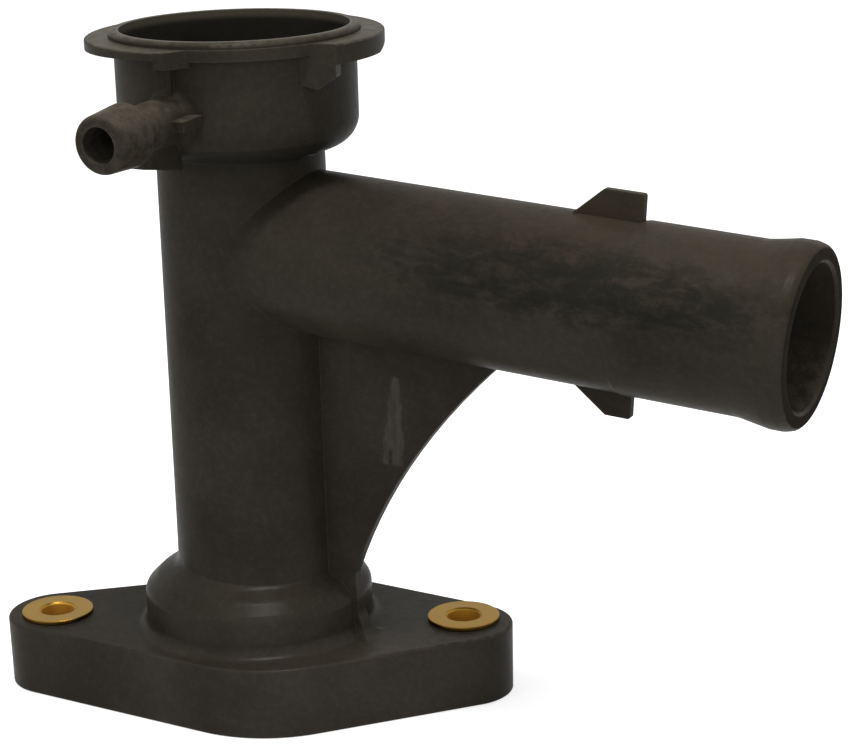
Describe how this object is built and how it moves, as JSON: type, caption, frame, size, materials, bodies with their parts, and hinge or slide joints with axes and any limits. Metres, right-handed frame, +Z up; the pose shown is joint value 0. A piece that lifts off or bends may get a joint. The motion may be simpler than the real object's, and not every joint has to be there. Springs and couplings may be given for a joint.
{
  "type": "coolant filler neck",
  "caption": "Upright coolant filler neck: bayonet cap cup, barbed overflow nipple, side hose arm with stop fins and thin web, on a drafted flange with metal bolt sleeves.",
  "frame": {"origin": "middle of the port on the mounting face", "axes": "+Z up the standing pipe to the cap cup, +X along the line of the two bolts towards the hose arm's side"},
  "size_m": [0.1664, 0.0846, 0.1349],
  "materials": {
    "housing_plastic": "satin",
    "sleeve_brass": "satin"
  },
  "bodies": {
    "root": {"neck_housing": "housing_plastic", "bolt_sleeve_left": "sleeve_brass", "bolt_sleeve_right": "sleeve_brass"}
  },
  "joints": []
}
